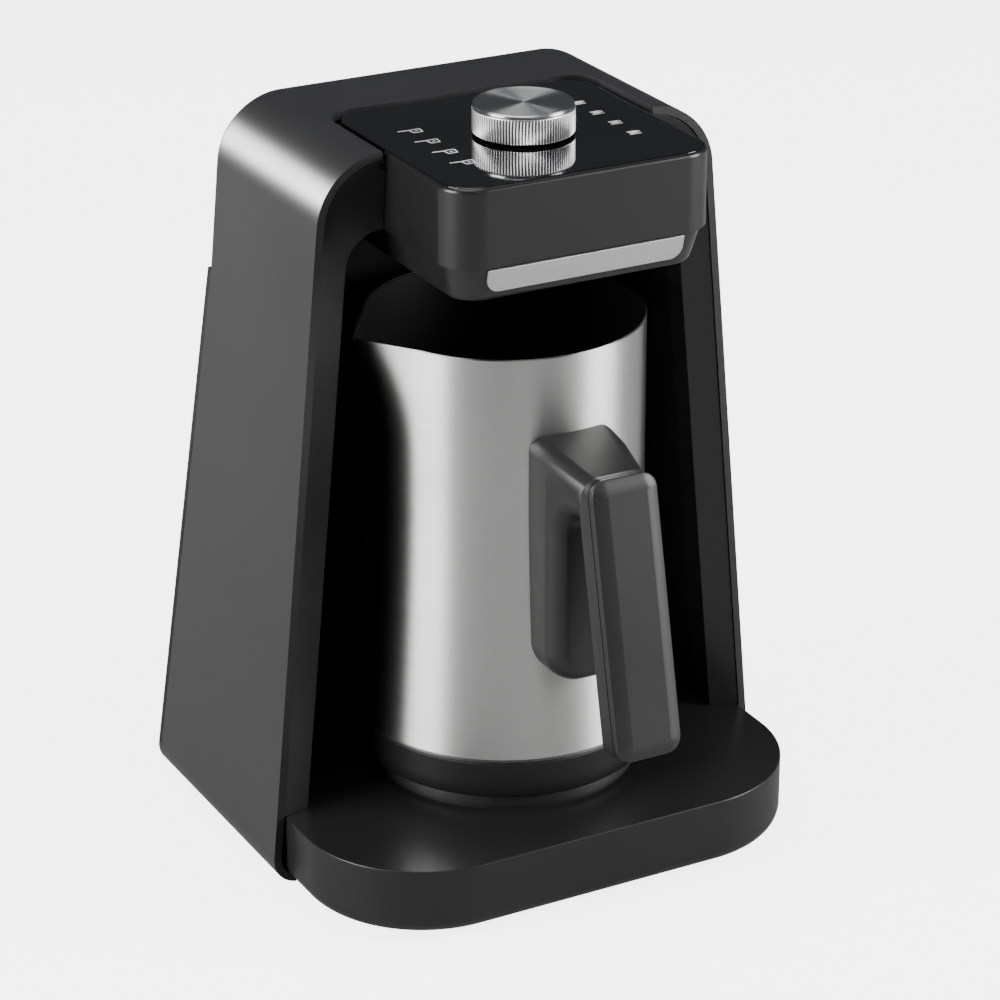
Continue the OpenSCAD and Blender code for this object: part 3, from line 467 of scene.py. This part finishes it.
bm = block((-head_half, head_front, bay_ceiling), (head_half, -1, head_top))
round_over(bm, head_corner, 16, lambda m, d: abs(d.z) > 0.9 and m.y < -20)
round_over(bm, 1.4, 5, lambda m, d: abs(d.z) < 0.1 and m.z > head_top - 0.1 and m.y < -2)
head_black = Finish("head_black", Specular_IOR_Level=0.45)
polish = head_black.noise(25, 2)
head_black.tint(polish, (0.008, 0.008, 0.0083), (0.011, 0.011, 0.0113))
head_black.set(Roughness=0.25 + 0.06 * polish)
make_piece("head_box", bm, head_black, "machine", ["head_housing"],
           softened=0.5, cuts=[panel_outline(-1.0, glass_seat - 0.1, 240),
                               hollow(head_half - head_wall, head_front + head_wall, 5,
                                      bay_ceiling + head_floor, glass_seat,
                                      head_corner - head_wall)])

hood_black = Finish("hood_black", Specular_IOR_Level=0.5)
sheen = hood_black.noise(30, 2)
hood_black.tint(sheen, (0.008, 0.008, 0.0085), (0.012, 0.012, 0.0125))
hood_black.set(Roughness=0.28 + 0.08 * sheen)
bm = block((-hood_half, hood_front, hood_bottom), (hood_half, hood_back, bay_ceiling))
for corner in bm.verts:
    if corner.co.z < bay_ceiling - 5:
        corner.co.x -= math.copysign(hood_taper, corner.co.x)
        corner.co.y -= math.copysign(hood_taper, corner.co.y)
round_over(bm, 9, 12, lambda m, d: abs(d.z) > 0.8)
round_over(bm, 1.5, 4, lambda m, d: abs(d.z) < 0.3 and m.z < hood_bottom + 0.3)
make_piece("hood", bm, hood_black, "machine", ["hood_lower"], softened=0.3,
           cuts=[hollow(hood_half - hood_wall, hood_front + hood_wall, hood_back - hood_wall,
                        hood_bottom + 2, 212, 7.5)])

window_red = Finish("sensor_window", Roughness=0.15)
depth = window_red.noise(100, 1)
window_red.tint(depth, (0.03, 0.004, 0.004), (0.05, 0.006, 0.006))
dress(window_red, "sensor_window")


# ---- Trim strip -------------------------------------------------------------------
# A thin strip of brushed aluminium, with rounded lower corners, is glued to the
# hood's front just under the head. Its face is bare.

hood_lean = math.atan2(hood_taper, bay_ceiling - hood_bottom)
strip_half, strip_drop, strip_gap, strip_corner = 32.5, 8.3, 0.8, 4
strip_metal = Finish("brushed_strip", Metallic=1.0)
hairlines = strip_metal.noise(40, 4, (1, 1, 70))
strip_metal.tint(hairlines, (0.46, 0.46, 0.46), (0.62, 0.62, 0.62))
strip_metal.set(Roughness=0.42 + 0.12 * hairlines).bump(hairlines, 0.2, 0.0001)
bm = block((-strip_half, -1, -strip_drop), (strip_half, 0, -strip_gap))
round_over(bm, strip_corner, 8, lambda m, d: abs(d.y) > 0.9 and m.z < -5)
bmesh.ops.rotate(bm, cent=(0, 0, 0), matrix=Matrix.Rotation(hood_lean, 3, "X"), verts=bm.verts)
bmesh.ops.translate(bm, vec=(0, hood_front, bay_ceiling), verts=bm.verts)
make_piece("trim", bm, strip_metal, "machine", ["trim_strip"], softened=0.2)


# ---- Control glass ----------------------------------------------------------------
# A glossy black panel lies in the head's rim and in a shallow recess of the shell. The
# pictograms are printed in white: small pots on the left and small cups on the right.

glass_level, knob_axis, knob_bore = 234.3, (0, -6), 4.5
pot_x, cup_x, icon_pitch, icon_count = -27, 28.8, 11.1, 4
black_glass = Finish("black_glass", Base_Color=(0.0045, 0.0045, 0.005), Specular_IOR_Level=0.65)
smears = black_glass.noise(14, 3)
black_glass.set(Roughness=0.035 + 0.02 * smears)
bm = panel_outline(-1.1, glass_seat, glass_level)
round_over(bm, 0.5, 3, lambda m, d: abs(d.z) < 0.1 and m.z > glass_level - 0.1)
profile = [(0, 225), (knob_bore, 225), (knob_bore, 240), (0, 240)]
make_piece("panel_glass", bm, black_glass, "machine", ["control_glass"],
           softened=0, cuts=[turned_ring(profile, 48, knob_axis)])

print_white = Finish("printed_white", Roughness=0.5)
ink = print_white.noise(900, 2)
print_white.tint(ink, (0.62, 0.62, 0.62), (0.8, 0.8, 0.8))


def bar(bm, x, y, width, height, lean=0, taper=0):
    """A flat printed bar on the glass; a taper narrows its lower edge."""
    part = bmesh.ops.create_cube(bm, size=1)["verts"]
    bmesh.ops.scale(bm, vec=(width, height, 0.03), verts=part)
    for v in part:
        if v.co.y < 0:
            v.co.x *= 1 - taper
    bmesh.ops.rotate(bm, cent=(0, 0, 0), matrix=Matrix.Rotation(lean, 3, "Z"), verts=part)
    bmesh.ops.translate(bm, vec=(x, y, glass_level + 0.02), verts=part)


# The print is all that shows of the small lamps behind the glass, so it stands for them.
bm = bmesh.new()
for step in range(icon_count):
    x, y = pot_x, 10.8 - icon_pitch * step
    bar(bm, x, y + 1.5, 3.8, 0.45)
    bar(bm, x, y - 1.5, 2.8, 0.45)
    bar(bm, x - 1.6, y, 0.45, 3, 0.12)
    bar(bm, x + 1.6, y, 0.45, 3, -0.12)
    bar(bm, x - 3.6, y + 1.5, 3.4, 0.55, -0.12)
    bar(bm, x + 0.1, y, 1.2, 0.45)
    x, y = cup_x, 12.6 - icon_pitch * step
    bar(bm, x, y, 3.2, 2.2, 0, 0.3)
    bar(bm, x + 2.1, y + 0.2, 0.4, 1.3)
    bar(bm, x + 1.8, y + 0.8, 0.9, 0.35)
    bar(bm, x + 1.7, y - 0.4, 0.9, 0.35)
    bar(bm, x, y - 1.7, 4, 0.4)
make_piece("pictograms", bm, print_white, "machine", ["icon_leds"], softened=0)


# ---- Knob -------------------------------------------------------------------------
# The cap is spun aluminium with a fine raised rim, pressed on a straight-knurled
# skirt. It turns for the number of cups, and it is pushed to start.

knob_radius, knurl_depth, cap_low, cap_top = 15.4, 0.3, 243.2, 244.1
spun_metal = Finish("spun_aluminium", Metallic=1.0, Anisotropic=0.9, Anisotropic_Rotation=0.25)
where = spun_metal.node("TexCoord", {}, 3)
where = spun_metal.node("Mapping", {}, Vector=where, Location=(0, -knob_axis[1] / 1000, 0))
across = spun_metal.node("SeparateXYZ", {}, 0, Vector=where)
along = spun_metal.node("SeparateXYZ", {}, 1, Vector=where)
reach = (across * across + along * along) ** 0.5
rings = spun_metal.node("TexNoise", {"noise_dimensions": "1D"}, W=reach * 5200, Scale=1.0,
                        Detail=2.0)
spun_metal.tint(rings, (0.54, 0.55, 0.55), (0.72, 0.72, 0.72))
spun_metal.set(Roughness=0.26 + 0.1 * rings).bump(rings, 0.25, 0.0001)
profile = [(0, cap_low), (15.1, cap_low), (15.1, 243.75), (14.75, cap_top), (14.1, cap_top),
           (13.7, 243.85), (0, 243.85)]
make_piece("knob_top", turned_ring(profile, 128, knob_axis), spun_metal, "knob",
           ["knob_cap"], softened=0)

knurl_metal = Finish("knurled_aluminium", Metallic=1.0)
wear = knurl_metal.noise(500, 3, (1, 1, 0.15))
knurl_metal.tint(wear, (0.4, 0.4, 0.4), (0.58, 0.58, 0.58))
knurl_metal.set(Roughness=0.28 + 0.12 * wear)
# The skirt's rings from the bottom up. Every second point of a knurled ring is set in.
bm = bmesh.new()
ring_points = 208
for level, radius, groove in [(235.2, 15.0, 0), (235.4, 15.25, 0),
                              (235.6, knob_radius, knurl_depth),
                              (242.4, knob_radius, knurl_depth),
                              (242.7, 15.1, 0), (cap_low, 14.9, 0)]:
    circle = bmesh.ops.create_circle(bm, segments=ring_points, radius=radius)["verts"]
    valley = [v for v in circle
              if round(math.atan2(v.co.y, v.co.x) / math.tau * ring_points) % 2]
    shrink = 1 - groove / radius
    bmesh.ops.scale(bm, vec=(shrink, shrink, 1), verts=valley)
    bmesh.ops.translate(bm, vec=(knob_axis[0], knob_axis[1], level), verts=circle)
levels = sorted({round(v.co.z, 3) for v in bm.verts})
for low, high in zip(levels, levels[1:]):
    both = [e for e in bm.edges if len(e.link_faces) < 2
            and all(min(abs(v.co.z - low), abs(v.co.z - high)) < 0.01 for v in e.verts)
            and abs(e.verts[0].co.z - e.verts[1].co.z) < 0.01]
    bmesh.ops.bridge_loops(bm, edges=both)
make_piece("knob_side", bm, knurl_metal, "knob", ["knob_skirt"],
           softened=0, wall=1.2)


# ---- Jug --------------------------------------------------------------------------
# Spun from 1 mm stainless steel and brushed round its axis, with a pouring lip pressed
# out of the rim on the left. A black ring covers the joint with the thick base.

rim, flare_from, hem, neck_radius, flare, jug_wall = 175, 128, 43.5, 43.6, 4.4, 1
lip_height, lip_push, lip_spread = 33, 8.4, math.radians(27)


def jug_radius(z):
    if z >= flare_from:
        return neck_radius
    return neck_radius + flare * ((flare_from - z) / (flare_from - hem)) ** 1.4


steel = Finish("brushed_steel", Metallic=1.0, Anisotropic=0.85, Anisotropic_Rotation=0.25)
brushed = steel.noise(40, 5, (1, 1, 75))
broad = steel.noise(9, 2, (1, 1, 0.6))
steel.tint(brushed, (0.5, 0.505, 0.49), (0.6, 0.605, 0.59))
steel.set(Roughness=0.29 + 0.08 * brushed + 0.04 * broad).bump(brushed, 0.2, 0.0002)
# Painted shade: the jug is bare steel inside. This near-black finish, with its faint random
# mottle, stands for the shadow that fills it.
inside_painted_shade = Finish("jug_inside_painted_shade", Specular_IOR_Level=0.3)
lining = inside_painted_shade.noise(300, 2)
inside_painted_shade.tint(lining, (0.004, 0.004, 0.0045), (0.007, 0.007, 0.008))
inside_painted_shade.set(Roughness=0.45 + 0.1 * lining)

outside = [(0, 33.4), (40.5, 33.4), (42.6, 34.3), (43.5, 36.4), (43.5, 42.5), (47, hem)]
flare_levels = [hem + 1.4 + i * (flare_from - hem - 1.4) / 14 for i in range(15)]
outside += [(jug_radius(z), z) for z in flare_levels]
outside += [(neck_radius, z) for z in range(flare_from + 4, rim, 3)]
outside += [(neck_radius, rim - 0.3), (neck_radius - 0.3, rim)]
inside = [(neck_radius - 0.7, rim), (neck_radius - jug_wall, rim - 0.3)]
inside += [(neck_radius - jug_wall, z) for z in range(rim - 4, flare_from + 2, -3)]
inside += [(jug_radius(z) - jug_wall, z) for z in (flare_from, 110, 90, 70, 56, 46)]
inside += [(43, 42), (42.5, 36.5), (40, 34.4), (0, 34.4)]
bm = turned_ring(outside + inside, 160)
# The lip is pushed out of the round wall: most at the rim, and less to both sides.
for v in bm.verts:
    turn = abs(math.atan2(v.co.y - jug_axis[1], -(v.co.x - jug_axis[0])))
    share = max(0, 1 - turn / lip_spread)
    rise = max(0, (v.co.z - rim + lip_height) / lip_height)
    v.co.x -= lip_push * share ** 1.35 * rise ** 1.7
bmesh.ops.recalc_face_normals(bm, faces=bm.faces)
# The faces that look inwards get the near-black painted shade of the jug's inside.
for face in bm.faces:
    middle = face.calc_center_median()
    out = Vector((middle.x - jug_axis[0], middle.y - jug_axis[1], 0))
    inner = face.normal.dot(out) < 0 or (face.normal.z > 0.5 and middle.z < 100)
    face.material_index = 1 if inner and 34 < middle.z < rim - 0.1 else 0
make_piece("jug_steel", bm, [steel, inside_painted_shade], "jug", ["jug_body"],
           softened=0)

ring_black = Finish("ring_black", Specular_IOR_Level=0.3)
gloss = ring_black.noise(50, 2)
ring_black.tint(gloss, (0.004, 0.004, 0.004), (0.006, 0.006, 0.006))
ring_black.set(Roughness=0.45 + 0.1 * gloss)
profile = [(43.8, 31.4), (44.6, 30.4), (44.9, 30.4), (46.2, 31.4), (46.8, 33.5), (47, 36),
           (47, 42.6), (46.5, 43.2), (43.8, 42.2), (43.8, 31.4)]
make_piece("jug_ring", turned_ring(profile), ring_black, "jug",
           ["jug_base_ring"], softened=0)


# ---- Jug handle -------------------------------------------------------------------
# The stem is screwed to a bracket on the jug, and an arm carries the grip clear of the
# hot steel. The grip's front is a chamfered cover, which is clipped on.

handle_black = Finish("handle_black", Specular_IOR_Level=0.38)
texture = handle_black.noise(1200, 3)
mottle = handle_black.noise(25, 2)
handle_black.tint(mottle, (0.013, 0.0125, 0.0125), (0.018, 0.0172, 0.0172))
handle_black.set(Roughness=0.34 + 0.07 * mottle + 0.05 * texture).bump(texture, 0.12, 0.0001)

stem_half, stem_low, stem_front, stem_back = 14, 73, jug_axis[1] - 57, -30
arm_top, arm_under, arm_root, arm_tip, arm_taper = 150.5, 135.2, jug_axis[1] - 51.4, -67.2, 0.22
grip_lean, grip_half, grip_low, grip_high, grip_corner = math.radians(12.4), 11, -82, 4, 5
cover_depth, chamfer_width, chamfer_depth = 4.3, 4.5, 2
grip_place = Vector((0, jug_axis[1] - 75.8, arm_top - 7))
grip_turn = Matrix.Rotation(-grip_lean, 3, "X")


def in_grip(bm):
    """Leans a shape with the grip: z runs down its length and y towards the jug."""
    bmesh.ops.rotate(bm, cent=(0, 0, 0), matrix=grip_turn, verts=bm.verts)
    bmesh.ops.translate(bm, vec=grip_place, verts=bm.verts)
    return bm


# The stem and the arm are one piece, drawn from the side and then rounded all round.
bm = bmesh.new()
side_view = [(stem_back, stem_low), (stem_front, stem_low), (stem_front, arm_under),
             (arm_tip, 129.6), (-63.7, 145.4), (-38, arm_top), (stem_back, arm_top)]
bm.faces.new([bm.verts.new((-stem_half, y, z)) for y, z in side_view])
corner = min(bm.verts, key=lambda v: abs(v.co.y - stem_front) + abs(v.co.z - arm_under))
bmesh.ops.bevel(bm, geom=[corner], offset=12, offset_type="OFFSET", affect="VERTICES",
                segments=8, profile=0.5, material=-1)
bmesh.ops.bisect_plane(bm, geom=bm.verts[:] + bm.edges[:] + bm.faces[:],
                       plane_co=(0, arm_root, 0), plane_no=(0, 1, 0))
other_side = bmesh.ops.extrude_face_region(bm, geom=bm.faces[:])["geom"]
bmesh.ops.translate(bm, vec=(2 * stem_half, 0, 0),
                    verts=[v for v in other_side if isinstance(v, bmesh.types.BMVert)])
for v in bm.verts:
    v.co.x *= 1 - arm_taper * min(1, max(0, (arm_root - v.co.y) / 16))
bmesh.ops.recalc_face_normals(bm, faces=bm.faces)
round_over(bm, 11, 12, lambda m, d: abs(d.y) > 0.9 and m.z < stem_low + 1)
free_side = edges_where(bm, lambda m, d: arm_tip + 0.7 < m.y < stem_back - 0.1
                        and (abs(d.x) < 0.5 or m.z < 90))
rim_edges = [e for e in free_side if e.calc_face_angle(0) > 1]
bmesh.ops.bevel(bm, geom=rim_edges, offset=5, offset_type="OFFSET", affect="EDGES", segments=8,
                profile=0.5, material=-1, clamp_overlap=False)
stem = bm
grip = in_grip(block((-grip_half, cover_depth + 0.2, grip_low), (grip_half, 11, grip_high)))
round_over(grip, grip_corner, 8, lambda m, d: abs(d.x) < 0.1 and abs(d.y) > 0.7)
round_over(grip, 2.2, 4, lambda m, d: m.y > -63 - 0.2 * (arm_top - m.z) and abs(d.x) < 0.999
           and abs(d.dot(grip_turn @ Vector((0, 1, 0)))) < 0.3)
jug_side = [(jug_radius(z) + 0.2, z) for z in (44, 60, 80, 100, 115, flare_from)]
seat = turned_ring([(0, 20)] + jug_side + [(neck_radius + 0.2, 174), (0, 174)])
bracket_pocket = block((-8.2, -45.6, 82.8), (8.2, -20, 136.7))
make_piece("handle_moulding", stem, handle_black, "jug", ["handle_body"],
           softened=0, cuts=[seat, bracket_pocket])
make_piece("handle_grip", grip, handle_black, "jug", ["handle_body"],
           softened=0)

# The cover's front face is set in all round, and the edge round it falls back as a chamfer.
bm = in_grip(block((-grip_half, 0, grip_low), (grip_half, cover_depth, grip_high)))
round_over(bm, grip_corner, 8, lambda m, d: abs(d.x) < 0.1 and abs(d.y) > 0.7)
front = [f for f in bm.faces if (grip_turn.transposed() @ f.normal).y < -0.9][0]
bmesh.ops.inset_region(bm, faces=[front], thickness=chamfer_width, depth=0)
for v in bm.verts:
    local = grip_turn.transposed() @ (v.co - grip_place)
    if local.y < 0.01 and v not in front.verts[:]:
        local.y = chamfer_depth
        v.co = grip_turn @ local + grip_place
make_piece("grip_cover", bm, handle_black, "jug", ["handle_cover"],
           softened=0.35)


# ---- Inside the housing -----------------------------------------------------------
# Two circuit boards, the leads between them, and the plunger that the knob pushes. A
# glimpse of board and leads shows through the vents, and the rest once it is opened.

board_green = Finish("board_green", Specular_IOR_Level=0.5)
traces = board_green.noise(250, 2, (1, 0.2, 1))
board_green.tint(traces, (0.01, 0.09, 0.035), (0.02, 0.15, 0.06))
board_green.set(Roughness=0.25 + 0.15 * traces)
dress(board_green, "power_board", "control_board")
lead_red = Finish("lead_insulation", Specular_IOR_Level=0.5)
ply = lead_red.noise(150, 2)
lead_red.tint(ply, (0.25, 0.02, 0.015), (0.33, 0.03, 0.02)).set(Roughness=0.35 + 0.1 * ply)
dress(lead_red, "wiring_harness")
pale_plastic = Finish("pale_plastic", Specular_IOR_Level=0.4)
haze = pale_plastic.noise(200, 2)
pale_plastic.tint(haze, (0.5, 0.47, 0.4), (0.58, 0.55, 0.48)).set(Roughness=0.4 + 0.1 * haze)
dress(pale_plastic, "encoder_plunger")
